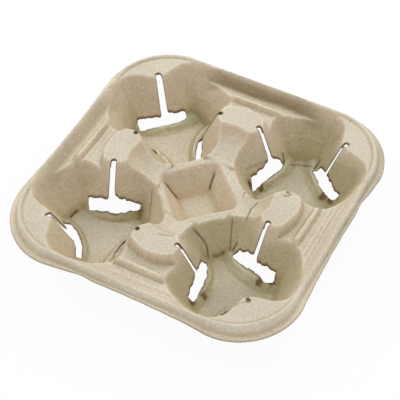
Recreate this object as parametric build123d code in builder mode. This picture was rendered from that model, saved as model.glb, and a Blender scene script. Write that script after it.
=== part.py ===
from build123d import *
import os
from math import cos, hypot, radians, sin, tan

# A four-cup carrier of moulded paper pulp, in millimetres.
# The origin is on the table under the middle of the tray, and Z = 0 is the underside of the cup cells.
# The tray is one sheet. It is everything below its upper surface, less everything below its lower
# surface. Both surfaces come from the same forms, and the lower one lies a wall deeper.

# Sheet
wall = 1.8
height = 42.0

# Cup cells: three round bays in each, between three folded flaps that lean in
cells = 4
flaps = 3
pitch = 100.0
bay_foot = 29.0
bay_draft = 29.0
flap_foot = 16.0
flap_draft = 26.0
flap_fold = 14.0
ridge_round = 1.5
valley_foot = 23.8
valley_draft = 31.0
valley_turn = 12.5
ledge_reach = 55.5
ledge_radius = 42.0
ledge_height = 3.6
ledge_draft = 30.0

# Flap cuts: a round hole, a slit down the flap and a wide opening at its foot
hole_reach = 36.0
hole_radius = 1.9
slit_top = 2.8
slit_foot = 4.2
opening_radius = 38.5
opening_width = 34.0
flap_length = 28.5
flap_slope = 3.5

# Rim: a crest round the cells, a sloping skirt outside it and a flange that narrows along each side
crest_gap = 0.7
crest_width = 1.6
crest_corner = 47.0
crest_bevel = 0.7
skirt_height = 8.6
skirt_draft = 10.0
flange_width = 3.7
flange_corner = 50.0
waist_depth = 2.2

# Corner decks, a little below the crest
corner_drop = 3.0
corner_draft = 30.0

# Middle decks, and the channel and rib outside each, which are placed from the crest
channel_depth = 9.0
channel_inset = 11.0
channel_draft = 46.0
deck_inset = 5.5
deck_radius = 28.0
deck_draft = 16.0
rib_inset = 19.0
rib_width = 4.8
rib_height = 3.6
rib_draft = 18.0

# Centre: a low plate, a funnel from it up to each middle deck, and a square pocket
plate_drop = 12.0
plate_radius = 30.0
funnel_centre = 28.0
funnel_rise = 16.2
funnel_round = 30.6
pocket_half = 22.0
pocket_depth = 20.0
pocket_draft = 31.0
pocket_corner = 4.0

# Levels and places that follow, and the margin by which a cutting form runs past what it cuts
margin = 10.0
floor_level = wall
flange_level = height - skirt_height
channel_level = height - channel_depth
plate_level = height - plate_drop
pocket_level = plate_level - pocket_depth
top_level = height + margin
cell_reach = hypot(pitch / 2, pitch / 2)
deck_centre = pitch / 2 - deck_inset
cell_mouth = bay_foot + (height - floor_level) * tan(radians(bay_draft))
crest_half = pitch / 2 + cell_mouth + crest_gap
skirt_half = crest_half + skirt_height * tan(radians(skirt_draft))
flange_half = skirt_half + flange_width


def slack(skin, draft):
    """Sideways move of a wall with this draft when its surface sinks by the skin."""
    return skin / cos(radians(draft))


def rise(distance, draft):
    """Sideways run of a wall with this draft over a height."""
    return distance * tan(radians(draft))


def leaning_plane(foot, turn, draft, skin):
    """Plane that leans out from its foot on a cell floor, with Z into the pulp, sunk by the skin."""
    out = cos(radians(draft))
    foot_point = (foot * cos(radians(turn)), foot * sin(radians(turn)), floor_level)
    normal = (out * cos(radians(turn)), out * sin(radians(turn)), -sin(radians(draft)))
    return Plane(foot_point, z_dir=normal).offset(skin)


def flap_form(skin):
    """Pulp behind one flap: two planes folded along a ridge, and one across the valley on each side."""
    with BuildPart() as form:
        for turn, mode in ((-flap_fold, Mode.ADD), (flap_fold, Mode.INTERSECT)):
            with BuildSketch(leaning_plane(flap_foot, turn, flap_draft, skin)):
                Rectangle(2 * pitch, 2 * pitch)
            extrude(amount=pitch, mode=mode)
        fillet(form.edges().sort_by_distance((0, 0, floor_level))[0], ridge_round + wall - skin)
        for turn in (-valley_turn, valley_turn):
            with BuildSketch(leaning_plane(valley_foot, turn, valley_draft, skin)):
                Rectangle(2 * pitch, 2 * pitch)
            extrude(amount=pitch)
    return form.part


def cell_room(skin):
    """Space in one cup cell: a cone with three flaps across it and a ledge inside each flap."""
    floor = floor_level - skin
    bay = bay_foot + slack(skin, bay_draft)
    ledge = ledge_radius - slack(skin, ledge_draft)
    with BuildPart() as room:
        with Locations((0, 0, floor)):
            Cone(
                bay - rise(skin, bay_draft),
                bay + rise(top_level - floor_level, bay_draft),
                top_level - floor,
                align=(Align.CENTER, Align.CENTER, Align.MIN),
            )
        with PolarLocations(0, flaps):
            add(flap_form(skin), mode=Mode.SUBTRACT)
        with Locations((0, 0, floor)):
            with PolarLocations(ledge_reach, flaps):
                Cone(
                    ledge,
                    ledge - rise(ledge_height, ledge_draft),
                    ledge_height,
                    align=(Align.CENTER, Align.CENTER, Align.MIN),
                    mode=Mode.SUBTRACT,
                )
    return room.part


def channel_room(skin):
    """Space over the channel on the +X side, round the curved end of the middle deck."""
    floor = channel_level - skin
    foot = crest_half - channel_inset + slack(skin, channel_draft) - rise(skin, channel_draft)
    brim = foot + rise(top_level - floor, channel_draft)
    deck = deck_radius + rise(height - floor, deck_draft) - slack(skin, deck_draft)
    with BuildPart() as room:
        with BuildSketch(Plane.XZ):
            Polygon(
                (deck_centre, floor),
                (foot, floor),
                (brim, top_level),
                (deck_centre, top_level),
                align=None,
            )
        extrude(amount=pitch / 2, both=True)
        with Locations((deck_centre, 0, floor)):
            Cone(
                deck,
                deck - rise(top_level - floor, deck_draft),
                top_level - floor,
                align=(Align.CENTER, Align.CENTER, Align.MIN),
                mode=Mode.SUBTRACT,
            )
        # pulp fills a rib this narrow, so only the upper surface rises over it
        if skin == 0:
            crown = rib_width / 2 - rise(rib_height, rib_draft)
            with BuildSketch(Plane.XZ):
                with Locations((crest_half - rib_inset, floor)):
                    Polygon(
                        (-rib_width / 2, 0),
                        (rib_width / 2, 0),
                        (crown, rib_height),
                        (-crown, rib_height),
                        align=None,
                    )
            extrude(amount=pitch / 2, both=True, mode=Mode.SUBTRACT)
    return room.part


def corner_room(skin):
    """Space over the deck in the +X +Y corner, inside the crest."""
    floor = height - corner_drop - skin
    inset = crest_width + rise(height - floor, corner_draft) - slack(skin, corner_draft)
    reach = crest_half - pitch / 2 + margin
    with BuildPart() as room:
        with BuildSketch(Plane.XY.offset(floor)):
            RectangleRounded(2 * (crest_half - inset), 2 * (crest_half - inset), crest_corner - inset)
            with Locations((pitch / 2 + reach / 2, pitch / 2 + reach / 2)):
                Rectangle(reach, reach, mode=Mode.INTERSECT)
        extrude(amount=corner_drop + skin + crest_width, taper=-corner_draft)
    return room.part


def plate_room(skin):
    """Space over the centre plate and up the funnels to the middle decks."""
    floor = plate_level - skin
    with BuildPart() as funnel:
        with Locations((0, 0, height + funnel_rise)):
            Sphere(funnel_round + skin)
        with Locations((0, 0, floor)):
            Box(pitch, pitch, pitch, align=(Align.CENTER, Align.CENTER, Align.MIN), mode=Mode.INTERSECT)
    with BuildPart() as room:
        with BuildSketch(Plane.XY.offset(floor)):
            Circle(plate_radius)
        extrude(amount=top_level - floor)
        with PolarLocations(funnel_centre, cells):
            add(funnel.part)
    return room.part


def pocket_room(skin):
    """Space in the square pocket, which stands corner-on to the sides of the tray."""
    floor = pocket_level - skin
    foot = pocket_half - rise(plate_level - floor_level, pocket_draft)
    with BuildPart() as side:
        with BuildSketch(leaning_plane(foot, 0, pocket_draft, skin)):
            Rectangle(2 * pitch, 2 * pitch)
        extrude(amount=pitch)
    with BuildPart() as room:
        with Locations((0, 0, floor)):
            Cylinder(
                2 * pocket_half,
                plate_level + crest_bevel - floor,
                align=(Align.CENTER, Align.CENTER, Align.MIN),
            )
        with PolarLocations(0, cells, start_angle=180 / cells):
            add(side.part, mode=Mode.SUBTRACT)
        corners = room.edges().filter_by(lambda e: e.bounding_box().size.Z > pocket_depth / 2)
        fillet(corners, pocket_corner + skin)
    return room.part


def skirt(skin):
    """Everything inside the outer wall of the rim, down past the flange."""
    foot = skirt_half + rise(margin, skirt_draft) - slack(skin, skirt_draft)
    with BuildPart() as body:
        with BuildSketch(Plane.XY.offset(flange_level - margin)):
            RectangleRounded(2 * foot, 2 * foot, crest_corner - crest_half + foot)
        extrude(amount=skirt_height - skin + margin, taper=skirt_draft)
        if skin == 0:
            chamfer(body.edges().group_by(Axis.Z)[-1], crest_bevel)
    return body.part


def flange():
    """The flange, narrower along the middle of each side, as a block down past the sheet."""
    waist = flange_half - flange_corner
    waist_radius = (waist**2 + waist_depth**2) / (2 * waist_depth)
    with BuildPart() as plate:
        with BuildSketch(Plane.XY.offset(flange_level)):
            RectangleRounded(2 * flange_half, 2 * flange_half, flange_corner)
            with PolarLocations(flange_half - waist_depth + waist_radius, cells):
                Circle(waist_radius, mode=Mode.SUBTRACT)
        extrude(amount=-margin)
    return plate.part


def hollow_out(body, skin):
    """Take the cells, channels, decks, plate and pocket out of a body."""
    with BuildPart() as form:
        add(body)
        with PolarLocations(cell_reach, cells, start_angle=180 / cells):
            add(cell_room(skin), mode=Mode.SUBTRACT)
        with PolarLocations(0, cells):
            add(channel_room(skin), mode=Mode.SUBTRACT)
            add(corner_room(skin), mode=Mode.SUBTRACT)
        add(plate_room(skin), mode=Mode.SUBTRACT)
        add(pocket_room(skin), mode=Mode.SUBTRACT)
    return form.part


def flap_cut():
    """Hole, slit and opening of one flap wall, which stands on the +X side of its cell."""
    start = ledge_reach - opening_radius + wall
    shoulder = height - flap_length - flap_slope
    with BuildPart() as cut:
        with BuildSketch(Plane.YZ):
            Polygon(
                (-opening_width / 2, -margin),
                (opening_width / 2, -margin),
                (opening_width / 2, shoulder),
                (0, height - flap_length),
                (-opening_width / 2, shoulder),
                align=None,
            )
        extrude(amount=hole_reach)
        with Locations((ledge_reach, 0, 0)):
            Cylinder(opening_radius, 4 * height, mode=Mode.INTERSECT)
        with BuildSketch():
            Polygon(
                (start, -slit_foot / 2),
                (hole_reach, -slit_top / 2),
                (hole_reach, slit_top / 2),
                (start, slit_foot / 2),
                align=None,
            )
            with Locations((hole_reach, 0)):
                Circle(hole_radius)
        extrude(amount=top_level)
    return cut.part


with BuildPart() as upper:
    add(skirt(0))
    add(flange())
    with BuildSketch(Plane.XY.offset(-margin)):
        core = 2 * (crest_half - crest_width)
        RectangleRounded(core, core, crest_corner - crest_width)
    extrude(amount=flange_level + margin)

with BuildPart() as lower:
    add(skirt(wall))
    with Locations((0, 0, flange_level - wall)):
        Box(
            2 * (flange_half + margin),
            2 * (flange_half + margin),
            flange_level + 2 * margin,
            align=(Align.CENTER, Align.CENTER, Align.MAX),
        )

with BuildPart() as carrier:
    add(hollow_out(upper.part, 0))
    add(hollow_out(lower.part, wall), mode=Mode.SUBTRACT)
    with PolarLocations(cell_reach, cells, start_angle=180 / cells):
        with PolarLocations(0, flaps):
            add(flap_cut(), mode=Mode.SUBTRACT)

carrier.part.label = "carrier"
os.makedirs("parts", exist_ok=True)
export_step(carrier.part, "parts/carrier.step")
print("solids", len(carrier.solids()), "volume cm3", round(carrier.part.volume / 1000, 1))
print("box", carrier.part.bounding_box())
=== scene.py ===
from math import cos, pi, radians, sin, tan

import bpy
import numpy as np
from mathutils import Matrix, Vector


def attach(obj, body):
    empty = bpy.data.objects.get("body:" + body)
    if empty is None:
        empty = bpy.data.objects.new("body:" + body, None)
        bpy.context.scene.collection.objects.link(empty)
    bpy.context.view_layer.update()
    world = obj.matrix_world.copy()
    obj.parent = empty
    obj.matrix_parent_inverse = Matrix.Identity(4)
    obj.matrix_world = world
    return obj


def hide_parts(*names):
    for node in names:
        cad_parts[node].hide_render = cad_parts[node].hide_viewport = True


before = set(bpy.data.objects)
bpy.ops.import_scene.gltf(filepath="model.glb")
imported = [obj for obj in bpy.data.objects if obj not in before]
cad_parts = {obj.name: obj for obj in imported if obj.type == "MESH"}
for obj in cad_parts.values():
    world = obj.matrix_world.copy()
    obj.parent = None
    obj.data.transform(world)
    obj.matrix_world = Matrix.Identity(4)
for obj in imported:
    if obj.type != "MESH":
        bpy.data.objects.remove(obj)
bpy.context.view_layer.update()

# ---------------------------------------------------------------------------------------------
# The tray
# One sheet of moulded paper pulp, drawn out of its slurry on to a mesh mould by suction and dried.
# It holds four cups in cells with three slit flaps each, round a square pocket. Sizes are in
# millimetres, with the origin on the table under the middle, and are turned into metres at the end.
# ---------------------------------------------------------------------------------------------

# the sheet's thickness, the tray's height, the top of the cells' floors and the cells' spacing
MM = 0.001
SHEET, TOP, PITCH = 1.8, 42.0, 100.0
FLOOR = SHEET
# a height over every form, for where a form isn't, and the skin under which a face is the upper one
NOWHERE, BARE = TOP + 60, 0.01
FAR_OFF, TINY = 1e9, 1e-9

# name of each cell, the place of its centre, and the way from the middle of the tray to it
CELLS = {
    "right": (PITCH / 2, PITCH / 2, 45.0),
    "back": (-PITCH / 2, PITCH / 2, 135.0),
    "left": (-PITCH / 2, -PITCH / 2, 225.0),
    "front": (PITCH / 2, -PITCH / 2, 315.0),
}
# how far from its cell's centre the slope of the ledge under each of its flaps begins and ends
LEDGES = {
    "right": ((8.5, 15.0), (11.5, 16.8), (12.5, 15.9)),
    "back": ((7.0, 13.4), (12.5, 15.9), (12.5, 16.5)),
    "left": ((11.5, 16.5), (12.5, 15.9), (14.0, 18.7)),
    "front": ((12.5, 15.9), (9.3, 15.3), (12.3, 17.3)),
}
# the crest of the rim, the foot of the skirt outside it and the flange, as half widths, corner
# radii and levels
CREST_HALF, CREST_CORNER, CREST_LEVEL = 101.98, 43.5, TOP - 2.1
SKIRT_HALF, FLANGE_HALF, FLANGE_CORNER, FLANGE_LEVEL = 103.5, 107.19, 46.5, TOP - 8.2


def soft_max(a, b, k):
    """The larger of a and b, rounded where they differ by less than k: there it is b + (a - b) h
    + k h (1 - h), with h = 1/2 + (a - b) / 2k."""
    h = np.clip(0.5 + 0.5 * (a - b) / k, 0, 1)
    return b + (a - b) * h + k * h * (1 - h)


def soft_min(a, b, k):
    """The smaller of a and b, rounded as soft_max is."""
    return -soft_max(-a, -b, k)


def smooth_step(x, low, high):
    """0 below low and 1 above high, with 3 s^2 - 2 s^3 between them."""
    s = np.clip((x - low) / (high - low), 0, 1)
    return s * s * (3 - 2 * s)


def mound(x, place, half):
    """1 at a place, falling off as exp(-((x - place) / half)^2) on both sides."""
    return np.exp(-((x - place) / half) ** 2)


def rounded_square(x, y, half, corner):
    """Distance outside a square of that half width whose corners have that radius, less than 0
    inside it."""
    qx, qy = np.abs(x) - half + corner, np.abs(y) - half + corner
    outside = np.hypot(np.maximum(qx, 0), np.maximum(qy, 0))
    return outside + np.minimum(np.maximum(qx, qy), 0) - corner


SHORTEST, SPREAD = 0.7, 0.7


def ripple(x, y, length, seed, waves=7):
    """Smooth unevenness from about -1 to 1: a sum of sine waves of 0.7 to 1.4 times that length,
    in directions and phases drawn from the seed."""
    draw = np.random.default_rng(seed)
    total = np.zeros_like(x)
    for turn, phase, stretch in draw.uniform(0, 1, (waves, 3)):
        k = 2 * pi / (length * (SHORTEST + SPREAD * stretch))
        total += np.sin(k * (x * cos(2 * pi * turn) + y * sin(2 * pi * turn)) + 2 * pi * phase)
    return total / (2 * np.sqrt(waves))


def ripples(x, y, rows):
    """Sum of ripples, each given as its height, length, seed and number of waves."""
    return sum(high * ripple(x, y, length, seed, waves) for high, length, seed, waves in rows)


def turned(x, y, centre, degrees):
    """x and y in a frame at that centre whose first axis points that many degrees round from +X."""
    c, s = cos(radians(degrees)), sin(radians(degrees))
    dx, dy = x - centre[0], y - centre[1]
    return dx * c + dy * s, dy * c - dx * s


# The cells' cone and each flap's two leaning planes: where they leave the floor, their drafts from
# upright, the fold between the planes, and the roundings at their feet. The ridge of the planes is
# rounded as sqrt(t^2 + softness) - sink.
BAY_FOOT, BAY_DRAFT, BAY_ROUND = 29.0, radians(29), 3.5
FLAP_FOOT, FLAP_DRAFT, FLAP_FOLD, FLAP_ROUND = 16.0, radians(26), radians(14), 4.0
RIDGE_SOFTNESS, RIDGE_SINK = 2.5, 1.0
# the depth of the cusp at a flap's ridge and of the bulge beside it, how far from the ridge the
# bulge is deepest and ends, and the heights between which both of them grow
CUSP, BULGE = 1.9, 2.0
BULGE_PLACE, BULGE_END = 18, 29
BULGE_HEIGHTS = (8, 36)
LEDGE_REACH, LEDGE_HEIGHT, LEDGE_TOP_ROUND, LEDGE_FOOT_ROUND = 55.5, 4.4, 0.8, 0.9


def cell_height(x, y, centre, out, ledges, skin):
    """Height of one cell's surface: its floor, a cone with three bays, three flaps that are each
    two leaning planes with a ridge between them, and a low ledge at the foot of each flap. Towards
    the top a flap draws in to a cusp at its ridge and bulges back beside it, so that the bays end
    as round lobes."""
    r = np.hypot(x - centre[0], y - centre[1])
    z = np.full_like(x, FLOOR) - skin
    z = soft_max(z, FLOOR + (r - BAY_FOOT - skin / cos(BAY_DRAFT)) / tan(BAY_DRAFT), BAY_ROUND)
    for third in range(3):
        u, t = turned(x, y, centre, out + 120 * third)
        rho = np.hypot(u - LEDGE_REACH, t)
        foot, top = ledges[third]
        run = (top - foot) / LEDGE_HEIGHT
        rise = (LEDGE_REACH - foot - skin * np.hypot(1, run) - rho) / run
        shelf = soft_min(np.maximum(rise, 0), LEDGE_HEIGHT + 0 * x, LEDGE_TOP_ROUND)
        z = soft_max(z, FLOOR - skin + shelf, LEDGE_FOOT_ROUND)
        ridge = np.sqrt(t * t + RIDGE_SOFTNESS) - RIDGE_SINK
        lean = u * cos(FLAP_FOLD) - ridge * sin(FLAP_FOLD) - FLAP_FOOT - skin / cos(FLAP_DRAFT)
        high = smooth_step(FLOOR + lean / tan(FLAP_DRAFT), *BULGE_HEIGHTS)
        lobe = -CUSP + (CUSP + BULGE) * smooth_step(np.abs(t), 0, BULGE_PLACE)
        lobe = lobe - BULGE * smooth_step(np.abs(t), BULGE_PLACE, BULGE_END)
        z = soft_max(z, FLOOR + (lean - lobe * high) / tan(FLAP_DRAFT), FLAP_ROUND)
    return z


# Each side is known by its quarter, round from +X. The slope from its channel up to the crest is
# given by where it begins, how far the channel's floor has fallen there, and its draft. Beside a
# deep channel the slope stands further in towards the corners.
CHANNEL_FLOOR, SHELF_LEVEL = TOP - 9.0, TOP - 8.2
SLOPES = {
    0: (CREST_HALF - 8.6, 0.0, radians(49)),
    1: (CREST_HALF - 5.9, 3.8, radians(27)),
    2: (CREST_HALF - 8.0, 0.6, radians(44)),
    3: (CREST_HALF - 8.6, 0.0, radians(49)),
}
SHELF_BLEND, FALL_START, SLOPE_ROUND = 2, 1, 0.8
DEEP_FALL, DEEP_SHIFT, DEEP_SHIFT_PLACES = 2, 2.1, (26, 48)
DECK_CENTRE, DECK_RADIUS, DECK_DRAFT, DECK_ROUND = 44.5, 28.0, radians(11), 1.2
RIB_HALF, RIB_HEIGHT, RIB_DRAFT, RIB_ROUND = 2.2, 3.8, radians(18), 1.0
# how far out each side's rib stands, and the fine ridges beside it as (place, height, half width)
RIBS = {
    0: (80.6, [(84.8, 0.5, 1.3), (88.2, 0.9, 1.1), (91.6, 0.8, 0.9), (94.3, 0.7, 0.9)]),
    1: (83.4, [(88.4, 0.15, 1.0)]),
    2: (86.6, [(91.2, 1.0, 0.9), (82.0, 0.8, 1.0), (78.6, 0.5, 0.9)]),
    3: (83.2, [(87.5, 0.3, 0.8), (91.0, 0.35, 0.8), (95.0, 0.3, 0.8)]),
}
RIDGES_FADE = (24, 36)


def channel_height(x, y, quarter, skin):
    """Height over the channel along one side: a flat floor, a slope up to the crest, the round end
    of the middle deck standing in it, and on the upper face only a narrow rib along it with a few
    finer ridges, which the seams of the mould's mesh left and which fade out towards the cells."""
    rib_at, ridges = RIBS[quarter]
    slope_foot, fall, draft = SLOPES[quarter]
    u, t = turned(x, y, (0, 0), 90 * quarter)
    past_rib = smooth_step(u, rib_at - SHELF_BLEND, rib_at + SHELF_BLEND)
    base = SHELF_LEVEL + (CHANNEL_FLOOR - SHELF_LEVEL) * past_rib - skin
    fall_start = rib_at + FALL_START
    base = base - fall * np.clip((u - fall_start) / (slope_foot - fall_start), 0, 1)
    foot = slope_foot + skin / cos(draft) - skin * tan(draft)
    if fall > DEEP_FALL:
        foot = foot - DEEP_SHIFT * smooth_step(np.abs(t), *DEEP_SHIFT_PLACES)
    z = soft_max(base, CHANNEL_FLOOR - fall - skin + (u - foot) / tan(draft), SLOPE_ROUND)
    rho = np.hypot(u - DECK_CENTRE, t)
    edge = DECK_RADIUS + (TOP - CHANNEL_FLOOR + skin) * tan(DECK_DRAFT) - skin / cos(DECK_DRAFT)
    z = soft_max(z, CHANNEL_FLOOR - skin + (edge - rho) / tan(DECK_DRAFT), DECK_ROUND)
    if np.max(skin) < BARE:
        fade = 1 - smooth_step(np.abs(t), *RIDGES_FADE)
        rib = np.minimum(RIB_HEIGHT, (RIB_HALF - np.abs(u - rib_at)) / tan(RIB_DRAFT))
        z = soft_max(z, base + rib, RIB_ROUND)
        for place, high, half in ridges:
            z = z + high * fade * mound(u, place, half)
    return np.where((u > DECK_CENTRE) & (np.abs(t) < PITCH / 2), z, NOWHERE)


CORNER_LEVEL, CORNER_INSET, CORNER_DRAFT, CORNER_ROUND = TOP - 3.1, 2.4, radians(25), 0.5
CORNER_START = 46
GROOVE_DEPTH, GROOVE_PLACE, GROOVE_HALF = 0.45, -0.5, 0.7


def corner_height(x, y, rim, skin):
    """Height over the four corner decks: flat, with a narrow groove round them and a low step up
    to the crest at the rim."""
    deck = CORNER_LEVEL - skin
    step = -CORNER_INSET - skin / cos(CORNER_DRAFT) + skin * tan(CORNER_DRAFT)
    z = soft_max(deck + 0 * x, deck + (rim - step) / tan(CORNER_DRAFT), CORNER_ROUND)
    if np.max(skin) < BARE:
        z = z - GROOVE_DEPTH * mound(rim - step, GROOVE_PLACE, GROOVE_HALF)
    return np.where(np.minimum(np.abs(x), np.abs(y)) > CORNER_START, z, NOWHERE)


PLATE_LEVEL, PLATE_RADIUS, PLATE_ROUND = TOP - 15.0, 30.0, 1.5
FUNNEL_CENTRE, FUNNEL_LEVEL, FUNNEL_RADIUS = 28.0, TOP + 15.2, 30.1
POCKET_X, POCKET_Y, POCKET_HALF, POCKET_CORNER = -1.6, -0.9, 22.7, 6.0
POCKET_FLOOR, POCKET_DRAFT = PLATE_LEVEL - 18.5, radians(31)
POCKET_ROUND, POCKET_EDGE_ROUND = 2.5, 1.8


def middle_height(x, y, skin):
    """Height over the middle: a low plate, a round funnel from it to each middle deck, and the
    square pocket, which stands corner-on to the sides."""
    z = np.where(np.hypot(x, y) < PLATE_RADIUS, PLATE_LEVEL - skin, NOWHERE)
    for quarter in range(4):
        u, t = turned(x, y, (0, 0), 90 * quarter)
        radius = FUNNEL_RADIUS + skin
        rho = np.hypot(u - FUNNEL_CENTRE, t)
        bowl = FUNNEL_LEVEL - np.sqrt(np.maximum(radius ** 2 - rho ** 2, 0))
        bowl = soft_max(bowl, PLATE_LEVEL - skin + 0 * x, PLATE_ROUND)
        z = np.minimum(z, np.where(rho < radius, bowl, NOWHERE))
    u, t = turned(x, y, (POCKET_X, POCKET_Y), 45)
    side = rounded_square(u, t, POCKET_HALF, POCKET_CORNER)
    pocket = PLATE_LEVEL + (side - skin / cos(POCKET_DRAFT)) / tan(POCKET_DRAFT)
    pocket = soft_max(POCKET_FLOOR - skin + 0 * x, pocket, POCKET_ROUND)
    return soft_min(z, pocket, POCKET_EDGE_ROUND)


def cells_height(x, y, skin):
    """The lowest of the four cells' surfaces."""
    return np.minimum.reduce([cell_height(x, y, (cx, cy), out, LEDGES[name], skin)
                              for name, (cx, cy, out) in CELLS.items()])


def edge_round(skin):
    """Size of the rounding where two forms meet: sharper on the upper face than on the lower."""
    return np.where(skin < BARE, 0.7, 1.2)


# how far inside the crest the tray's top rises to the level of the middle decks
DECK_RISE = (4, 16)
SKIRT_DRAFT, CREST_ROUND, FLANGE_ROUND, CORNER_EDGE_ROUND = radians(10), 1.3, 0.8, 0.6
SAG, SAG_PLACES = 1.8, (40, 75)


def rest_height(x, y, skin):
    """Height of everything but the cells: the rim and its top, less the channels, corner decks and
    middle. The crest lies a little under the middle decks, and the flange sags at the corners."""
    rim = rounded_square(x, y, CREST_HALF, CREST_CORNER)
    top = CREST_LEVEL + (TOP - CREST_LEVEL) * smooth_step(-rim, *DECK_RISE) - skin
    skirt = top - (rim + skin / cos(SKIRT_DRAFT)) / tan(SKIRT_DRAFT)
    z = soft_min(top, skirt, CREST_ROUND)
    flange = FLANGE_LEVEL - SAG * smooth_step(np.minimum(np.abs(x), np.abs(y)), *SAG_PLACES)
    z = soft_max(z, flange - skin, FLANGE_ROUND)
    z = soft_min(z, corner_height(x, y, rim, skin), CORNER_EDGE_ROUND)
    z = soft_min(z, middle_height(x, y, skin), edge_round(skin))
    for quarter in range(4):
        z = soft_min(z, channel_height(x, y, quarter, skin), edge_round(skin))
    return z


def tray_height(x, y, skin):
    """Height of the tray's upper face, or of its lower face where skin is the sheet's thickness:
    the cells cut into the rest, with their edges rounded."""
    return soft_min(rest_height(x, y, skin), cells_height(x, y, skin), edge_round(skin))


SQUARE_CORNERS_TO = 55


def ring_grid(rings):
    """Places (x, y) of a square net bent into rounded squares. Ring n is the square of half width
    rings[n], whose corner radius grows from 0 at 55 to that of the crest and then the flange. A
    point past the straight part of its side is moved round the corner by the same share."""
    count = len(rings) - 1
    i, j = np.meshgrid(np.arange(-count, count + 1), np.arange(-count, count + 1), indexing="ij")
    n = np.maximum(np.abs(i), np.abs(j))
    half = rings[n]
    radius = np.interp(half, [0, SQUARE_CORNERS_TO, CREST_HALF, FLANGE_HALF],
                       [0, 0, CREST_CORNER, FLANGE_CORNER])
    along_x = np.abs(i) >= np.abs(j)
    share = np.where(along_x, np.abs(j), np.abs(i)) / np.maximum(n, 1)
    s, straight = half * share, half - radius
    bend = np.where(s > straight, (s - straight) / np.maximum(radius, TINY) * pi / 4, 0)
    far = straight + radius * np.cos(bend)
    near = np.where(s > straight, straight + radius * np.sin(bend), s)
    x = np.sign(i) * np.where(along_x, far, near)
    y = np.sign(j) * np.where(along_x, near, far)
    return x, y, half


def polygon_distance(u, t, corners):
    """Distance from each point to a closed outline, less than 0 inside it."""
    corners = np.array(corners, float)
    best, inside = np.full(u.shape, FAR_OFF), np.zeros(u.shape, bool)
    for (au, at), (bu, bt) in zip(corners, np.roll(corners, -1, axis=0)):
        du, dt = bu - au, bt - at
        share = np.clip(((u - au) * du + (t - at) * dt) / (du * du + dt * dt), 0, 1)
        best = np.minimum(best, np.hypot(u - au - share * du, t - at - share * dt))
        crosses = ((at > t) != (bt > t)) & (u < au + (t - at) * du / (dt if dt else TINY))
        inside ^= crosses
    return np.where(inside, -best, best)


# The cuts in each flap, in the flap's own frame: u out from the cell's centre, t to its left. A
# slit runs from a round hole in the deck down the ridge, and is given by the hole's radius and its
# own widths at top and foot. The pulp tore when the foot of the flap was punched out, so each
# opening has its own outline. Two flaps that hide theirs have a plain narrow one.
HOLE_REACH, SLIT_FOOT, SLIT_END = 36.0, 22, 20
NARROW = [(22.4, 12.0), (20.8, 0.0), (22.4, -12.0), (19.0, -13.0), (17.6, 0.0), (18.6, 13.0)]
CUTS = [
    ("back", 0, 1.9, 4.3, 5.1, [
        (25.2, 20.5), (21.8, 4.4), (22.2, -2.7), (23.7, -16.6), (18.3, -16.1), (16.0, -12.8),
        (15.0, -8.3), (15.2, 12.3), (15.8, 15.0), (15.6, 18.7), (16.9, 21.2)]),
    ("back", 1, 1.5, 1.3, 1.5, [
        (20.6, 1.5), (19.9, 0.0), (20.6, -11.0), (18.8, -11.5), (18.0, 0.0), (18.4, 1.5)]),
    ("back", 2, 1.6, 1.2, 1.7, [
        (22.4, 0.6), (23.6, -6.0), (25.0, -17.0), (21.2, -18.0), (19.4, -8.0), (19.6, 0.6)]),
    ("left", 0, 1.35, 3.4, 6.4, [
        (17.2, -8.9), (16.4, -3.1), (16.3, 5.2), (19.0, 16.8), (22.5, 15.7), (21.0, 8.4),
        (21.3, 1.7), (23.2, 0.8), (25.0, -14.0), (20.0, -16.0)]),
    ("left", 1, 1.5, 1.3, 1.5, [
        (15.2, 9.0), (16.5, 2.0), (19.0, -5.5), (22.0, -12.0), (23.0, -11.6), (20.1, -5.0),
        (17.6, 2.4), (16.3, 9.4)]),
    ("left", 2, 1.9, 3.9, 4.1, [
        (26.1, 18.0), (23.8, 3.3), (24.8, -3.1), (26.8, -20.5), (24.5, -20.2), (18.4, -3.5),
        (19.3, 11.4), (19.8, 16.0)]),
    ("front", 0, 1.3, 1.3, 1.5, NARROW),
    ("front", 1, 1.8, 2.4, 3.2, [
        (21.3, 17.7), (24.6, 14.2), (24.4, 1.5), (23.1, -2.5), (26.3, -16.6), (23.2, -18.4),
        (21.0, -18.0), (18.4, -13.2), (19.9, -7.4), (18.9, 4.5), (19.6, 16.1)]),
    ("front", 2, 1.8, 2.8, 3.4, [
        (24.0, -5.8), (24.0, -15.7), (20.8, -17.2), (17.9, -5.7), (20.0, 11.6), (21.3, 17.7),
        (25.4, 17.1), (23.9, 3.1)]),
    ("right", 0, 1.9, 2.0, 2.6, [
        (22.6, 9.9), (22.7, 0.7), (23.5, -9.9), (25.4, -18.9), (20.3, -19.7), (16.6, -8.4),
        (16.9, 10.5)]),
    ("right", 1, 1.8, 2.9, 3.4, [
        (24.7, 0), (23.3, -9.6), (20.7, -10.1), (18.5, -5.3), (19.9, 13.7), (20.1, 23.0),
        (26.2, 18.6), (24.3, 5.3)]),
    ("right", 2, 1.1, 1.3, 1.5, NARROW),
]
# the ragged wave on the torn outlines, as height, length, seed and number of waves
RAGGED = [(0.5, 6.0, 31, 7), (0.25, 2.8, 32, 7)]


def hole_distance(x, y):
    """Distance to the middle of the nearest round hole."""
    nearest = np.full(x.shape, FAR_OFF)
    for cx, cy, out in CELLS.values():
        for third in range(3):
            u, t = turned(x, y, (cx, cy), out + 120 * third)
            nearest = np.minimum(nearest, np.hypot(u - HOLE_REACH, t))
    return nearest


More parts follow.
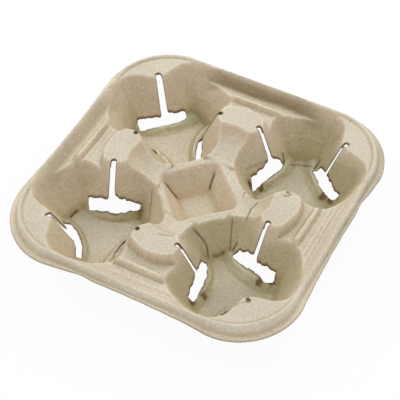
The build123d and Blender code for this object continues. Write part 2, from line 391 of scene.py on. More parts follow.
def cut_distance(x, y):
    """Distance to the nearest cut, less than 0 inside it: the least of those to the ragged
    outline, the slit and the round hole of each flap."""
    ragged = ripples(x, y, RAGGED)
    nearest = np.full(x.shape, FAR_OFF)
    for name, third, hole_radius, top_width, foot_width, outline in CUTS:
        cx, cy, out = CELLS[name]
        u, t = turned(x, y, (cx, cy), out + 120 * third)
        torn_hole = polygon_distance(u, t, outline) + ragged
        half = np.interp(u, [SLIT_FOOT, HOLE_REACH], [foot_width / 2, top_width / 2])
        slit = np.maximum(np.abs(t) - half, np.maximum(u - HOLE_REACH, SLIT_END - u))
        hole = np.hypot(u - HOLE_REACH, t) - hole_radius
        nearest = np.minimum(nearest, np.minimum(torn_hole, np.minimum(slit, hole)))
    return nearest


# Creases and cracks that the sheet got when it left the mould and dried: the change of height along
# them, how dark they are, which is their own brown together with painted shade in the fold, and
# their points as x and y in the tray's frame. The last is no crease: it has no change of height and
# is only a painted shadow along one side of the slit in the back cell's third flap.
CREASES = [
    (-0.5, 0.5, [(-31.6, -12.3), (-29.4, -17.4), (-27.9, -22.9), (-26.7, -27.6)]),
    (-0.7, 1.0, [(-79.3, -46.4), (-78.8, -42.0), (-77.7, -38.7)]),
    (-0.7, 0.9, [(11.5, -31.6), (15.4, -30.5), (20.1, -29.9), (22.2, -31.2), (23.9, -33.5)]),
    (-0.8, 0.9, [(26.0, -30.9), (28.8, -28.4), (32.0, -24.6)]),
    (-0.6, 0.6, [(31.3, -11.9), (32.9, -17.3), (35.2, -23.1)]),
    (-0.7, 0.7, [(36.9, 69.1), (40.0, 73.4), (46.0, 74.3), (52.7, 73.1)]),
    (0.7, 0.0, [(26.1, 77.4), (30.8, 82.8), (38.5, 86.7), (47.4, 88.0), (54.8, 87.5)]),
    (0.5, 0.1, [(-82.8, 57.9), (-77.1, 59.7), (-69.8, 63.3)]),
    (0.9, 0.2, [(-79.2, -25.1), (-76.6, -23.6), (-73.3, -23.7)]),
    (0.6, 0.0, [(-69.3, -23.6), (-62.0, -25.4)]),
    (-0.5, 0.3, [(15.6, 39.2), (20.3, 45.7), (23.9, 51.1)]),
    (-0.9, 1.0, [(29.6, 70.4), (31.5, 68.5), (33.2, 65.2)]),
    (-0.9, 1.0, [(55.5, 78.7), (54.6, 75.9), (54.4, 71.3)]),
    (-0.9, 1.0, [(38.7, -19.4), (37.9, -20.9), (37.3, -22.6)]),
    (-0.6, 0.8, [(41.4, 6.1), (39.2, 0.0), (40.8, -9.9)]),
    (-0.4, 0.3, [(-8.7, -54.9), (-1.0, -47.5), (11.7, -44.9)]),
    (-0.4, 0.4, [(-1.1, -57.6), (8.2, -54.1), (11.9, -45.3)]),
    (-0.9, 1.0, [(65.4, -92.7), (67.2, -89.1), (68.6, -84.3)]),
    (-0.4, 0.4, [(68.6, -84.3), (71.5, -79.5), (75.0, -77.0)]),
    (-0.6, 0.7, [(57.9, 11.9), (59.0, 10.9), (60.7, 12.3), (62.2, 15.2)]),
    (-0.8, 1.0, [(-27.6, -0.9), (-23.4, -1.1), (-18.6, -0.9)]),
    (-0.8, 1.0, [(-1.6, 24.2), (-1.8, 20.0), (-1.6, 16.4)]),
    (0.8, 0.1, [(-50.0, 87.7), (-44.3, 88.0), (-39.3, 86.6), (-34.7, 84.3)]),
    (0.6, 0.1, [(-91.0, -34.2), (-88.1, -31.3), (-83.0, -29.5)]),
    # painted shadow along the slit of the back cell's third flap
    (0.0, 1.0, [(-15.6, 60.1), (-23.4, 58.1), (-31.2, 56.0)]),
]
CREASE_HALF, CREASE_FADE, CREASE_END = 0.9, 8, 0.5


def crease_nearest(x, y):
    """The nearest crease to each point: the way to it as (dx, dy), its distance, its change of
    height and its darkness, which both fade to a half over the last sixteenth of its length."""
    best = np.full(x.shape, FAR_OFF)
    dx, dy, change, dark = (np.zeros_like(x) for _ in range(4))
    for high, darkness, points in CREASES:
        points = np.array(points)
        lengths = np.hypot(*np.diff(points, axis=0).T)
        gone = np.concatenate([[0], np.cumsum(lengths)]) / lengths.sum()
        for (ax, ay), (bx, by), start, end in zip(points[:-1], points[1:], gone[:-1], gone[1:]):
            vx, vy = bx - ax, by - ay
            share = np.clip(((x - ax) * vx + (y - ay) * vy) / (vx * vx + vy * vy), 0, 1)
            ox, oy = ax + share * vx - x, ay + share * vy - y
            distance = np.hypot(ox, oy)
            nearer = distance < best
            along = start + share * (end - start)
            fade = np.clip(np.minimum(along, 1 - along) * CREASE_FADE + CREASE_END, 0, 1)
            best = np.where(nearer, distance, best)
            dx, dy = np.where(nearer, ox, dx), np.where(nearer, oy, dy)
            change = np.where(nearer, high * fade, change)
            dark = np.where(nearer, darkness * fade, dark)
    return dx, dy, best, change, dark


# Rings of the net, as runs of the half width they reach and their number: even over the cells, and
# close together where the skirt stands nearly upright
rings = np.zeros(1)
for reached, count in ((96, 117), (100, 4), (103.6, 7), (FLANGE_HALF, 4)):
    rings = np.append(rings, np.linspace(rings[-1], reached, count + 1)[1:])
grid_x, grid_y, grid_half = ring_grid(rings)

# The flange is cut back along the middle of each side, and has a notch in two of them
WAIST = FLANGE_HALF - FLANGE_CORNER
WAIST_CUT, WAIST_INNER, WAIST_OUTER = 0.60, WAIST - 6, WAIST + 8
NOTCHES, NOTCH_CUT, NOTCH_HALF = {0: 36.0, 3: -33.0}, 0.33, 7.0
FLANGE_WAVE, FLANGE_WAVE_LENGTH, FLANGE_SEED = 0.05, 14.0, 50
FLANGE_START, FLANGE_KEPT = SKIRT_HALF + 0.05, SKIRT_HALF + 0.1


def flange_width(along, side):
    """Share of the full flange that is left at a place along a side: it dips as 1 - (s / waist)^2,
    with a notch where the sheet came off the mould badly."""
    left = 1 - WAIST_CUT * np.clip(1 - (along / WAIST) ** 2, 0, 1)
    if side in NOTCHES:
        left = left - NOTCH_CUT * mound(along, NOTCHES[side], NOTCH_HALF)
    return left + FLANGE_WAVE * ripple(along, 0 * along, FLANGE_WAVE_LENGTH, FLANGE_SEED + side)


past = grid_half > FLANGE_START
for side in range(4):
    u, t = turned(grid_x, grid_y, (0, 0), 90 * side)
    mine = past & (u > np.abs(t)) & (np.abs(t) < WAIST_OUTER)
    moved = FLANGE_KEPT + (u - FLANGE_KEPT) * flange_width(t, side)
    pull = np.where(mine, moved - u, 0) * (1 - smooth_step(np.abs(t), WAIST_INNER, WAIST_OUTER))
    c, s = cos(radians(90 * side)), sin(radians(90 * side))
    grid_x, grid_y = grid_x + pull * c, grid_y + pull * s

# The mould is worn and the sheet dried unevenly, so every form is shifted a little sideways: by a
# long wave, which is weaker at the rim, and by a short one inside it
LONG_WAVE, LONG_AT_RIM, LONG_INSIDE = 38.0, 0.15, 0.6
SHORT_WAVE, SHORT_INSIDE, INSIDE_BAND = 11.0, 0.22, (0, 8)
calm = smooth_step(-rounded_square(grid_x, grid_y, CREST_HALF, CREST_CORNER), *INSIDE_BAND)


def wandered(x, y):
    """Place on the mould that came to lie at (x, y): a long and a short wave away each way."""
    far, near = LONG_AT_RIM + LONG_INSIDE * calm, SHORT_INSIDE * calm
    over = x + far * ripple(x, y, LONG_WAVE, 11) + near * ripple(x, y, SHORT_WAVE, 12)
    up = y + far * ripple(x, y, LONG_WAVE, 21) + near * ripple(x, y, SHORT_WAVE, 22)
    return over, up


SLOPE_STEP, LEAST_SLOPE = 0.05, 0.25


def drawn_on(x, y, distance, reach, free):
    """Points moved on to the line where distance is 0, down its slope, when they are free and lie
    within reach of it; and which points those are."""
    near = free
    for passes in range(2):
        here = distance(x, y)
        fx = (distance(x + SLOPE_STEP, y) - distance(x - SLOPE_STEP, y)) / (2 * SLOPE_STEP)
        fy = (distance(x, y + SLOPE_STEP) - distance(x, y - SLOPE_STEP)) / (2 * SLOPE_STEP)
        slope2 = np.maximum(fx * fx + fy * fy, LEAST_SLOPE)
        if passes == 0:
            near = near & (np.abs(here) < reach * np.sqrt(slope2))
        x = x - np.where(near, here * fx / slope2, 0)
        y = y - np.where(near, here * fy / slope2, 0)
    return x, y, near


def cell_edge(x, y):
    """0 along the outline of each cell, where its surface meets the rest."""
    across, along = wandered(x, y)
    return cells_height(across, along, 0 * x) - rest_height(across, along, 0 * x)


DECK_EDGE_DROP = 0.4


def deck_edge(x, y):
    """0 along the top edge of the middle decks, where they end at the channels and the middle."""
    across, along = wandered(x, y)
    none = 0 * x
    channels = [channel_height(across, along, quarter, none) for quarter in range(4)]
    lowest = np.minimum.reduce([*channels, middle_height(across, along, none)])
    return lowest - TOP + DECK_EDGE_DROP


LEAST_AREA = 0.02


def folded(x, y):
    """The points of every quad that is turned over or nearly flat: one of the triangles between
    three of its corners is under a thirtieth of its usual size."""
    xs, ys = [(v[:-1, :-1], v[1:, :-1], v[1:, 1:], v[:-1, 1:]) for v in (x, y)]
    flat = np.zeros(xs[0].shape, bool)
    for k in range(4):
        p, q, r = k, (k + 1) % 4, (k + 2) % 4
        area = (xs[q] - xs[p]) * (ys[r] - ys[p]) - (xs[r] - xs[p]) * (ys[q] - ys[p])
        flat |= area < LEAST_AREA
    points = np.zeros(x.shape, bool)
    for rows in (slice(None, -1), slice(1, None)):
        for columns in (slice(None, -1), slice(1, None)):
            points[rows, columns] |= flat
    return points


# Points near the edge of a cut, a crease or the outline of a form move on to it. A crease close to
# a diagonal of the net takes none, because its points would come in a zigzag.
CUT_REACH, LINE_REACH, CREASE_CLEAR, DIAGONAL, RIM_CLEAR = 0.42, 0.40, 0.9, 0.75, 4
everywhere = np.ones(grid_x.shape, bool)
grid_x, grid_y, on_cut = drawn_on(grid_x, grid_y, cut_distance, CUT_REACH, everywhere)
plain_x, plain_y = grid_x, grid_y
crease_dx, crease_dy, crease_far, _, _ = crease_nearest(grid_x, grid_y)
way_x, way_y = np.abs(crease_dx), np.abs(crease_dy)
askew = np.minimum(way_x, way_y) < DIAGONAL * np.maximum(way_x, way_y)
clear = cut_distance(grid_x, grid_y) > CREASE_CLEAR
on_crease = ~on_cut & (crease_far < CUT_REACH) & clear & askew
grid_x = grid_x + np.where(on_crease, crease_dx, 0)
grid_y = grid_y + np.where(on_crease, crease_dy, 0)
inland = ~on_cut & ~on_crease & (grid_half < CREST_HALF - RIM_CLEAR)
grid_x, grid_y, on_outline = drawn_on(grid_x, grid_y, cell_edge, LINE_REACH, inland)
grid_x, grid_y, on_deck = drawn_on(grid_x, grid_y, deck_edge, LINE_REACH, inland & ~on_outline)
on_line = on_cut | on_crease | on_outline | on_deck
for passes in range(4):
    put_back = folded(grid_x, grid_y) & ~on_cut
    grid_x, grid_y = np.where(put_back, plain_x, grid_x), np.where(put_back, plain_y, grid_y)
    on_line = on_line & ~put_back
f = np.where(on_cut, 0, cut_distance(grid_x, grid_y))
_, _, crease_far, crease_change, crease_dark = crease_nearest(grid_x, grid_y)
crease_near = np.clip(1 - crease_far / CREASE_HALF, 0, 1)

# The sheet is uneven from drying inside the rim, and its upper face from the pulp everywhere, both
# as height, length, seed and number of waves. Each ledge has a lip a little back from its torn edge
# and a dip behind it, as height and distance. Creases fade out towards the cuts.
UNEVEN = [(0.22, 24.0, 41, 7), (0.10, 7.0, 42, 7)]
PULP = [(0.05, 3.2, 43, 12), (0.03, 1.9, 44, 16)]
LEDGE_RADII, LEDGE_LEVELS = (19, 22), (7.5, 9.5)
LIP, LIP_HALF = [(0.75, 2.0), (-0.5, 4.0)], 1.0
CREASE_START = (0.3, 1.5)
uneven = ripples(grid_x, grid_y, UNEVEN)
mould_x, mould_y = wandered(grid_x, grid_y)
upper = tray_height(mould_x, mould_y, 0 * grid_x) + uneven * calm + ripples(grid_x, grid_y, PULP)
nearest_cell = np.minimum.reduce(
    [np.hypot(grid_x - cx, grid_y - cy) for cx, cy, _ in CELLS.values()])
on_ledge = (1 - smooth_step(nearest_cell, *LEDGE_RADII)) * (1 - smooth_step(upper, *LEDGE_LEVELS))
upper = upper + on_ledge * sum(high * mound(f, place, LIP_HALF) for high, place in LIP)
upper = upper + crease_change * crease_near * smooth_step(f, *CREASE_START)

# The sheet thins towards a torn edge and at the flange, and is thick round the holes: each its
# thickness there and how far from it that reaches
TORN_SHEET, TORN_REACH, RIM_SHEET, RIM_REACH = 0.5, 2.4, 1.1, 2.0
HOLE_SHEET, HOLE_REACHES, LEAST_SHEET, UNDER_SINK = 1.9, (2.2, 3.6), 0.5, 0.2
flange_edge = FLANGE_HALF - grid_half
thickness = TORN_SHEET + (SHEET - TORN_SHEET) * smooth_step(f, 0, TORN_REACH)
at_flange = RIM_SHEET + (SHEET - RIM_SHEET) * smooth_step(flange_edge, 0, RIM_REACH)
at_hole = HOLE_SHEET * (1 - smooth_step(hole_distance(grid_x, grid_y), *HOLE_REACHES))
thickness = np.maximum(np.minimum(thickness, at_flange), at_hole)
lower = tray_height(mould_x, mould_y, thickness) + uneven * calm
lower = np.maximum(np.minimum(lower, upper - LEAST_SHEET) - UNDER_SINK, 0)
upper = np.minimum(upper, TOP)
grid_x, grid_y = (np.clip(v, -FLANGE_HALF, FLANGE_HALF) for v in (grid_x, grid_y))

# a point within the first of these of a cut lies on it, a triangle needs twice its area over the
# second, and one with two points on a cut reaches no further into it than the third
ON_CUT, LEAST_FACE, BRIDGE = 1e-9, 1e-4, -0.16
# shares of a triangle's corners at its middle and at the middle of each side
TRIANGLE_PLACES = ((0.34, 0.33, 0.33), (0.5, 0.5, 0), (0, 0.5, 0.5), (0.5, 0, 0.5))


def sheet_mesh(name, x, y, upper, lower, f, on_line):
    """Mesh of the sheet. The upper face has two triangles in each quad of the net, split along the
    diagonal that joins two points on a line where there are such, and leaves out those that lie in
    a cut or bridge one. The lower face joins the quads by fours, apart from those near an open
    edge: a block of four has two triangles, or a fan round its middle where a side is shared with
    a fine block. Upright walls close every open edge."""
    rows, columns = x.shape
    number = np.arange(rows * columns).reshape(rows, columns)
    a, b = number[:-1, :-1].ravel(), number[1:, :-1].ravel()
    c, d = number[1:, 1:].ravel(), number[:-1, 1:].ravel()
    from_cut, line = f.ravel(), on_line.ravel()
    i, j = np.divmod(a, columns)
    rising = (i < rows // 2) == (j < rows // 2)
    for special in (line, np.abs(from_cut) < ON_CUT):
        ac, bd = special[a] & special[c], special[b] & special[d]
        rising = np.where(ac & ~bd, True, np.where(bd & ~ac, False, rising))
    first = np.where(rising[:, None], np.stack([a, b, c], 1), np.stack([a, b, d], 1))
    second = np.where(rising[:, None], np.stack([a, c, d], 1), np.stack([b, c, d], 1))
    faces = np.concatenate([first, second])
    px, py, away = x.ravel()[faces], y.ravel()[faces], from_cut[faces]
    ux, uy, vx, vy = (p[:, k] - p[:, 0] for k in (1, 2) for p in (px, py))
    keep = (away.min(axis=1) >= -ON_CUT) & (away.max(axis=1) > ON_CUT)
    keep &= ux * vy - vx * uy > LEAST_FACE
    close = np.nonzero(keep & ((away < ON_CUT).sum(axis=1) >= 2))[0]
    near_x, near_y = px[close], py[close]
    for place in TRIANGLE_PLACES:
        keep[close] &= cut_distance(near_x @ place, near_y @ place) > BRIDGE

    quads = len(a)
    whole = (keep[:quads] & keep[quads:]).reshape(rows - 1, columns - 1)
    blocks = whole.reshape((rows - 1) // 2, 2, (columns - 1) // 2, 2).all(axis=(1, 3))
    coarse = blocks.copy()
    for shift, axis in ((1, 0), (-1, 0), (1, 1), (-1, 1)):
        coarse &= np.roll(blocks, shift, axis=axis)
    coarse[[0, -1], :] = coarse[:, [0, -1]] = False
    fine = ~np.repeat(np.repeat(coarse, 2, axis=0), 2, axis=1).ravel()
    pieces = [faces[keep & np.concatenate([fine, fine])]]
    bi, bj = np.nonzero(coarse)
    corners = [number[2 * bi + di, 2 * bj + dj] for di, dj in ((0, 0), (2, 0), (2, 2), (0, 2))]
    halfway = [number[2 * bi + di, 2 * bj + dj] for di, dj in ((1, 0), (2, 1), (1, 2), (0, 1))]
    centre = number[2 * bi + 1, 2 * bj + 1]
    beside = [~coarse[bi + di, bj + dj] for di, dj in ((0, -1), (1, 0), (0, 1), (-1, 0))]
    fan = line[centre] | np.logical_or.reduce(beside)
    p, q, r, t = corners
    ahead = ((bi < len(coarse) // 2) == (bj < len(coarse) // 2)) & ~fan
    pieces += [np.stack([p, q, r], 1)[ahead], np.stack([p, r, t], 1)[ahead]]
    across = ~fan & ~ahead
    pieces += [np.stack([p, q, t], 1)[across], np.stack([q, r, t], 1)[across]]
    for side in range(4):
        start, end = corners[side], corners[(side + 1) % 4]
        split, single = fan & beside[side], fan & ~beside[side]
        pieces += [np.stack([centre, start, halfway[side]], 1)[split],
                   np.stack([centre, halfway[side], end], 1)[split],
                   np.stack([centre, start, end], 1)[single]]
    under = np.concatenate(pieces)

    faces = faces[keep]
    sides = np.concatenate([faces[:, [0, 1]], faces[:, [1, 2]], faces[:, [2, 0]]])
    total = rows * columns
    key, opposite = sides[:, 0] * total + sides[:, 1], sides[:, 1] * total + sides[:, 0]
    start, end = sides[~np.isin(key, opposite)].T
    walls = np.concatenate([np.stack([end, start, start + total], 1),
                            np.stack([end, start + total, end + total], 1)])
    everything = np.concatenate([faces, under[:, ::-1] + total, walls])
    heights = np.concatenate([upper.ravel(), lower.ravel()])
    points = np.stack([np.tile(x.ravel(), 2), np.tile(y.ravel(), 2), heights], 1)
    used = np.unique(everything)
    renumber = np.zeros(2 * total, int)
    renumber[used] = np.arange(len(used))
    mesh = bpy.data.meshes.new(name)
    mesh.from_pydata((points[used] * MM).tolist(), [], renumber[everything].tolist())
    mesh.update()
    return mesh, used


tray_mesh, used = sheet_mesh("pulp_tray", grid_x, grid_y, upper, lower, f, on_line)
tray_mesh.polygons.foreach_set("use_smooth", np.ones(len(tray_mesh.polygons), bool))
tray_mesh.set_sharp_from_angle(angle=radians(65))
tray = bpy.data.objects.new("pulp_tray", tray_mesh)
bpy.context.collection.objects.link(tray)
print("tray triangles", len(tray_mesh.polygons))


def smoothed(values, reach):
    """Mean of the values over a square of the net that reaches so many points each way: running
    sums along both directions, with the outermost values carried on past the rim."""
    for axis in (0, 1):
        margins = [(reach + 1, reach) if a == axis else (0, 0) for a in (0, 1)]
        sums = np.cumsum(np.pad(values, margins, mode="edge"), axis=axis)
        ends = [np.take(sums, np.arange(k, k + values.shape[axis]), axis=axis)
                for k in (2 * reach + 1, 0)]
        values = (ends[0] - ends[1]) / (2 * reach + 1)
    return values


def spots(places):
    """Round spots, each given as x, y, radius and strength, as strength * exp(-(r / radius)^2)."""
    for sx, sy, reach, strength in places:
        yield strength * np.exp(-((grid_x - sx) ** 2 + (grid_y - sy) ** 2) / reach ** 2)


# How far each place stands above or sinks below its near surroundings, which gives painted
# highlights on ridges and painted shade in hollows; how deep it lies in its wider surroundings,
# which gives painted shade in recesses; and how steep it is. The skirt outside the crest gets
# painted light, apart from its +X +Y corner.
EDGE_GAIN, EDGE_POINTS, CAVITY_DEPTH, CAVITY_POINTS = 1.6, 2, 14, 17
GAP, STEEP_SLOPES, CREST_INSIDE = 0.4, (0.2, 1.3), (0.5, 3)
SKIRT_START, SKIRT_FADE = (0.2, 1.4), (40, 120)
edge = np.clip(EDGE_GAIN * (upper - smoothed(upper, EDGE_POINTS)), -1, 1)
# painted shade in recesses, stronger the lower a place lies below its wider surroundings
recess_shade = np.clip((smoothed(upper, CAVITY_POINTS) - upper) / CAVITY_DEPTH, 0, 1)
rim = rounded_square(grid_x, grid_y, CREST_HALF, CREST_CORNER)
# painted light on the skirt, weaker towards the +X +Y corner
skirt_light = smooth_step(rim, *SKIRT_START) * (1 - smooth_step(grid_x + grid_y, *SKIRT_FADE))
rise_x, rise_y = (tray_height(mould_x + gx, mould_y + gy, 0 * upper)
                  - tray_height(mould_x - gx, mould_y - gy, 0 * upper)
                  for gx, gy in ((GAP, 0), (0, GAP)))
slope = np.hypot(rise_x, rise_y) / (2 * GAP)
inside_rim = smooth_step(-rim, *CREST_INSIDE)
steep = smooth_step(slope, *STEEP_SLOPES) * inside_rim

# Painted olive shade deep in the cells, strongest on their steep walls, with a strength given for
# each cell and most in the right and front cells; painted shade also on the ledges' slopes and in a
# few spots low in the cells
OLIVE_SHADE_BY_CELL = {"right": 1.0, "front": 0.75, "back": 0.12, "left": 0.2}
CELL_EDGE, CELL_DEPTHS, SHADE_WEAK_SIDE, SHADE_WEAK_PLACES, FLAT_SHADE = (46, 52), (5, 18), 0.25, (26, 42), 0.3
LEDGE_SLOPES, LEDGE_TOPS, LEDGE_SHADE, LEDGE_MORE = (0.25, 0.6), (6.5, 9), 0.6, 0.15
OLIVE_SHADE_SPOTS = [(-47.8, 79.5, 6.5, 1.1), (-36.4, -22.5, 6.0, 1.1), (-46.0, -27.0, 5.0, 0.8),
         (81.3, 61.2, 6.0, 0.5), (36.6, -63.7, 7.0, 0.9), (66.0, -36.0, 7.0, 0.9),
         (25.0, 37.0, 7.0, 1.0), (71.0, 51.5, 7.0, 1.0)]
SHADE_SPOT_DEPTHS, MOST_SHADE = (15, 25), 1.3
olive_shade = np.zeros_like(upper)
for name, cell_share in OLIVE_SHADE_BY_CELL.items():
    cx, cy, _ = CELLS[name]
    inside = 1 - smooth_step(np.hypot(grid_x - cx, grid_y - cy), *CELL_EDGE)
    if name == "right":
        inside = inside * (SHADE_WEAK_SIDE + (1 - SHADE_WEAK_SIDE) * smooth_step(grid_x, *SHADE_WEAK_PLACES))
    deep = smooth_step(TOP - upper, *CELL_DEPTHS)
    olive_shade = olive_shade + cell_share * inside * deep * (FLAT_SHADE + (1 - FLAT_SHADE) * steep)
ledge_slope = smooth_step(slope, *LEDGE_SLOPES) * (1 - smooth_step(upper, *LEDGE_TOPS)) * inside_rim
olive_shade = np.maximum(olive_shade, LEDGE_SHADE * ledge_slope) + LEDGE_MORE * ledge_slope
for spot in spots(OLIVE_SHADE_SPOTS):
    olive_shade = np.clip(olive_shade + spot * smooth_step(TOP - upper, *SHADE_SPOT_DEPTHS), 0, MOST_SHADE)

# Painted shade on the walls of the +Y and -X channels, which fades out towards the corners
WALL_RISE, WALL_BLEND, WALL_FADE, WALL_PLACES, SIDE_WALL = 7, 2, (26, 56), (90, 93), 0.55
in_channel = smooth_step(SHELF_LEVEL + WALL_RISE - upper, 0, WALL_BLEND)
from_axis = np.minimum(np.abs(grid_x), np.abs(grid_y))
wall = steep * in_channel * (1 - smooth_step(from_axis, *WALL_FADE))
far_walls = np.maximum(smooth_step(grid_y, *WALL_PLACES),
                       SIDE_WALL * smooth_step(-grid_x, *WALL_PLACES))

# Brown stains at the ends of the openings, where water stood, brown torn edges, and a brown line
# along the flange's outer edge that is partly painted shade
STAINS = [(36.6, -63.7, 3.2, 0.9), (64.9, -36.4, 3.2, 1.0), (72.5, -34.0, 3.6, 1.0),
          (33.0, -73.0, 3.0, 0.9), (28.0, 39.0, 2.8, 1.0), (21.5, 34.5, 3.2, 0.9),
          (70.4, 51.9, 3.6, 1.0), (76.5, 50.0, 3.6, 0.9), (-36.4, -22.2, 3.6, 0.7)]
TORN_HALF, TORN_LEDGE, FLANGE_BROWN_AND_SHADE, FLANGE_RANGE = 1.2, 1.0, 0.75, (0.2, 1.2)
stain = np.maximum.reduce([np.zeros_like(upper), *spots(STAINS)])
torn = np.maximum(1 - smooth_step(f, 0, TORN_HALF + TORN_LEDGE * on_ledge),
                  FLANGE_BROWN_AND_SHADE * (1 - smooth_step(flange_edge, *FLANGE_RANGE)))

LAYERS = {"torn": torn, "crack_and_shade": crease_dark * crease_near, "edge": edge, "recess_shade": recess_shade,
          "steep": steep, "olive_shade": olive_shade, "stain": stain, "skirt_light": skirt_light, "shade": wall * far_walls}
for label, values in LAYERS.items():
    layer = tray_mesh.attributes.new(label, "FLOAT", "POINT")
    layer.data.foreach_set("value", np.tile(values.ravel(), 2)[used].astype(np.float32))

# Colours of the pulp and of what is laid over it, some of which is painted light and shade. A tint
# multiplies them, and is given by its layer of the mesh, the value of that layer at which it
# begins, and its colour.
DARK_PULP, PALE_PULP = (0.60, 0.54, 0.425), (0.655, 0.60, 0.485)
DARK_GRAIN, PALE_GRAIN = (0.80, 0.78, 0.74), (1.12, 1.12, 1.12)
TORN_BROWN, CRACK_BROWN_AND_SHADE = (0.17, 0.105, 0.055), (0.10, 0.055, 0.025)
STAIN_BROWN, STAIN_DARK = (0.24, 0.17, 0.065), (0.12, 0.07, 0.022)
# The first tint is painted shade in recesses, the second a painted warm shade on steep walls, and
# the third painted olive shade deep in the cells.
TINTS_BEFORE = (("recess_shade", 0.1, (0.98, 0.94, 0.78)), ("steep", 0.0, (1.04, 0.96, 0.90)),
                ("olive_shade", 0.0, (0.72, 0.76, 0.64)))
# The first tint here is painted shade on the channel walls, the second painted light on the skirt.
TINTS_AFTER = (("shade", 0.0, (0.56, 0.53, 0.46)), ("skirt_light", 0.0, (1.22, 1.2, 1.2)))
HOLLOW_SHADE, RIDGE_HIGHLIGHT = (0.84, 0.80, 0.72), (1.14, 1.14, 1.16)
CLOUD_SCALE, GRAIN_SCALE, STAIN_SCALE, BUMP_SCALE = 28, 620, 420, 700
STAIN_NOISE, DARK_STEP, BUMP_STRENGTH, BUMP_DEPTH = 1.1, 0.25, 0.55, 0.0006
BLACK, WHITE = (0, 0, 0), (1, 1, 1)


def pulp_material():
    """Dull undyed pulp with fibres, stains and brown torn edges, with painted light and shade laid
    over it. Noise gives its clouds, its grain and its bumps, and the layers of the mesh say where
    each tint goes."""
    material = bpy.data.materials.new("moulded_pulp")
    material.use_nodes = True
    nodes, links = material.node_tree.nodes, material.node_tree.links
    shader = nodes["Principled BSDF"]
    shader.inputs["Roughness"].default_value = 0.92
    shader.inputs["Specular IOR Level"].default_value = 0.2
    place = nodes.new("ShaderNodeTexCoord")

    def noise(scale, detail, rough=0.5):
        """Noise over the piece's own coordinates, in metres."""
        node = nodes.new("ShaderNodeTexNoise")
        node.inputs["Scale"].default_value = scale
        node.inputs["Detail"].default_value = detail
        node.inputs["Roughness"].default_value = rough
        links.new(place.outputs["Object"], node.inputs["Vector"])
        return node.outputs["Fac"]

    def layer(label):
        """The values of one of the mesh's layers."""
        node = nodes.new("ShaderNodeAttribute")
        node.attribute_name = label
        return node.outputs["Fac"]

    def math(operation, *values):
        """A sum of that kind on numbers or sockets."""
        node = nodes.new("ShaderNodeMath")
        node.operation = operation
        for socket, value in zip(node.inputs, values):
            if isinstance(value, float):
                socket.default_value = value
            else:
                links.new(value, socket)
        return node.outputs[0]

    def ramp(value, stops):
        """Colours between stops, each given as its value and its colour."""
        node = nodes.new("ShaderNodeValToRGB")
        while len(node.color_ramp.elements) < len(stops):
            node.color_ramp.elements.new(0.5)
        for element, (position, colour) in zip(node.color_ramp.elements, stops):
            element.position, element.color = position, (*colour, 1)
        links.new(value, node.inputs["Fac"])
        return node.outputs["Color"]

    def mix(kind, amount, one, two):
        """Two colours mixed or multiplied by that amount."""
        node = nodes.new("ShaderNodeMix")
        node.data_type, node.blend_type = "RGBA", kind
        for number, value in ((0, amount), (6, one), (7, two)):
            socket = node.inputs[number]
            if isinstance(value, float):
                socket.default_value = value
            elif isinstance(value, tuple):
                socket.default_value = (*value, 1)
            else:
                links.new(value, socket)
        return node.outputs[2]

    def laid(kind, value, start, most, one, two):
        """One colour with two laid over it: none of it up to start, and the most of it at 1."""
        return mix(kind, ramp(value, [(start, BLACK), (1.0, (most, most, most))]), one, two)

    clouds = ramp(noise(CLOUD_SCALE, 3), [(0.35, DARK_PULP), (0.65, PALE_PULP)])
    grain = ramp(noise(GRAIN_SCALE, 5, 0.75), [(0.32, DARK_GRAIN), (0.68, PALE_GRAIN)])
    colour = mix("MULTIPLY", 1.0, clouds, grain)
    colour = laid("MIX", layer("torn"), 0.3, 0.85, colour, TORN_BROWN)
    # brown of the creases and cracks, with painted shade in their folds
    colour = laid("MIX", layer("crack_and_shade"), 0.0, 0.92, colour, CRACK_BROWN_AND_SHADE)
    for label, start, tint in TINTS_BEFORE:
        colour = laid("MULTIPLY", layer(label), start, 1.0, colour, tint)
    speckled = math("MULTIPLY_ADD", noise(STAIN_SCALE, 3), STAIN_NOISE, layer("stain"))
    colour = laid("MIX", speckled, 0.88, 0.5, colour, STAIN_BROWN)
    colour = laid("MIX", math("SUBTRACT", speckled, DARK_STEP), 0.85, 0.8, colour, STAIN_DARK)
    for label, start, tint in TINTS_AFTER:
        colour = laid("MULTIPLY", layer(label), start, 1.0, colour, tint)
    # painted highlights on ridges and painted shade in hollows, from the edge layer
    edge_light_range = nodes.new("ShaderNodeMapRange")
    edge_light_range.inputs["From Min"].default_value, edge_light_range.inputs["From Max"].default_value = -1.0, 1.0
    links.new(layer("edge"), edge_light_range.inputs["Value"])
    edge_light = ramp(edge_light_range.outputs["Result"], [(0.0, HOLLOW_SHADE), (0.5, WHITE), (1.0, RIDGE_HIGHLIGHT)])
    links.new(mix("MULTIPLY", 1.0, colour, edge_light), shader.inputs["Base Color"])
    bump = nodes.new("ShaderNodeBump")
    bump.inputs["Strength"].default_value = BUMP_STRENGTH
    bump.inputs["Distance"].default_value = BUMP_DEPTH
    links.new(noise(BUMP_SCALE, 5, 0.65), bump.inputs["Height"])
    links.new(bump.outputs["Normal"], shader.inputs["Normal"])
    return material


tray_mesh.materials.append(pulp_material())
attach(tray, "root")
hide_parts("carrier")

# ---------------------------------------------------------------------------------------------
# The studio
# A white sheet of paper under the tray, three wide lamps round it and even white light. Rays from
# the camera, and those that gloss or glass sends on, see the paper and the air as plain white.
# ---------------------------------------------------------------------------------------------

# the paper's half width in metres, its own white, how much of its seen white is plain, and the
# light of the air on the tray
FLOOR_HALF, PAPER_WHITE, PAPER_GLOW, AIR_LIGHT = 3.0, 0.88, 0.95, 0.56


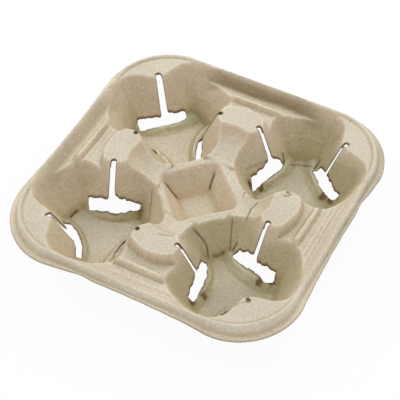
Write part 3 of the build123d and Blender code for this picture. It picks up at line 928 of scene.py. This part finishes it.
def plain_ray(nodes, links, low, high):
    """High for a ray from the camera or one sent on by gloss or glass, else low: the greatest of
    three marks, carried from 0...1 to low...high."""
    path = nodes.new("ShaderNodeLightPath")
    found = path.outputs["Is Camera Ray"]
    for kind in ("Is Glossy Ray", "Is Transmission Ray"):
        greater = nodes.new("ShaderNodeMath")
        greater.operation = "MAXIMUM"
        links.new(found, greater.inputs[0])
        links.new(path.outputs[kind], greater.inputs[1])
        found = greater.outputs[0]
    scaled = nodes.new("ShaderNodeMapRange")
    scaled.inputs["To Min"].default_value = low
    scaled.inputs["To Max"].default_value = high
    links.new(found, scaled.inputs["Value"])
    return scaled.outputs["Result"]


floor_mesh = bpy.data.meshes.new("studio_floor")
floor_corners = [(-1, -1), (1, -1), (1, 1), (-1, 1)]
floor_mesh.from_pydata(
    [(FLOOR_HALF * x, FLOOR_HALF * y, 0) for x, y in floor_corners], [], [(0, 1, 2, 3)])
studio_floor = bpy.data.objects.new("studio_floor", floor_mesh)
bpy.context.collection.objects.link(studio_floor)
paper = bpy.data.materials.new("white_paper")
paper.use_nodes = True
nodes, links = paper.node_tree.nodes, paper.node_tree.links
matt = nodes["Principled BSDF"]
matt.inputs["Base Color"].default_value = (PAPER_WHITE, PAPER_WHITE, PAPER_WHITE, 1)
matt.inputs["Roughness"].default_value = 1.0
matt.inputs["Specular IOR Level"].default_value = 0.0
glow = nodes.new("ShaderNodeEmission")
glow.inputs["Color"].default_value = (1, 1, 1, 1)
glow.inputs["Strength"].default_value = 1.0
blend = nodes.new("ShaderNodeMixShader")
links.new(plain_ray(nodes, links, 0.0, PAPER_GLOW), blend.inputs[0])
links.new(matt.outputs[0], blend.inputs[1])
links.new(glow.outputs[0], blend.inputs[2])
links.new(blend.outputs[0], nodes["Material Output"].inputs["Surface"])
floor_mesh.materials.append(paper)

world = bpy.data.worlds.new("studio")
world.use_nodes = True
bpy.context.scene.world = world
nodes, links = world.node_tree.nodes, world.node_tree.links
air = nodes["Background"]
air.inputs["Color"].default_value = (1, 1, 1, 1)
links.new(plain_ray(nodes, links, AIR_LIGHT, 1.0), air.inputs["Strength"])

# each lamp as its way round from +X, its height above the table in degrees, and its strength,
# where 1 lights a sheet that faces it as brightly as white paper in full even light
LAMPS = (("back", 90, 45, 0.42), ("left", 180, 42, 0.26), ("front", 315, 42, 0.17))
LAMP_DISTANCE, LAMP_SIZE = 1.6, 0.8
for name, around, above, strength in LAMPS:
    lamp_data = bpy.data.lights.new("lamp_" + name, "AREA")
    lamp_data.shape = "SQUARE"
    lamp_data.size = LAMP_SIZE
    lamp_data.energy = strength * pi * pi * LAMP_DISTANCE ** 2
    lamp = bpy.data.objects.new("lamp_" + name, lamp_data)
    level = cos(radians(above))
    way = Vector((cos(radians(around)) * level, sin(radians(around)) * level, sin(radians(above))))
    lamp.location = way * LAMP_DISTANCE
    lamp.rotation_euler = way.to_track_quat("Z", "Y").to_euler()
    bpy.context.collection.objects.link(lamp)

# ---------------------------------------------------------------------------------------------
# The camera
# It stands at the photograph's angle and distance, which were fitted to the tray's corners, holes
# and decks. It looks at a point near the middle of the tray, at the level of its top.
# ---------------------------------------------------------------------------------------------

AZIMUTH, ELEVATION, ROLL = radians(29.158), radians(49.856), radians(-1.147)
AIM, DISTANCE = Vector((0.010074, -0.018670, 0.042)), 0.88776
FOCAL_PIXELS, IMAGE_PIXELS, SENSOR = 1321.55, 400, 36.0
toward = Vector((sin(AZIMUTH) * cos(ELEVATION), -cos(AZIMUTH) * cos(ELEVATION), sin(ELEVATION)))
level_right = (-toward).cross(Vector((0, 0, 1))).normalized()
level_up = level_right.cross(-toward)
right = cos(ROLL) * level_right + sin(ROLL) * level_up
up = -sin(ROLL) * level_right + cos(ROLL) * level_up
camera_data = bpy.data.cameras.new("camera")
camera_data.sensor_width = SENSOR
camera_data.lens = FOCAL_PIXELS * SENSOR / IMAGE_PIXELS
camera_data.clip_start, camera_data.clip_end = 0.05, 20
camera = bpy.data.objects.new("camera", camera_data)
camera.matrix_world = Matrix((
    (right.x, up.x, toward.x, AIM.x + toward.x * DISTANCE),
    (right.y, up.y, toward.y, AIM.y + toward.y * DISTANCE),
    (right.z, up.z, toward.z, AIM.z + toward.z * DISTANCE),
    (0, 0, 0, 1),
))
bpy.context.collection.objects.link(camera)
bpy.context.scene.camera = camera
bpy.context.scene.view_settings.view_transform = "Standard"
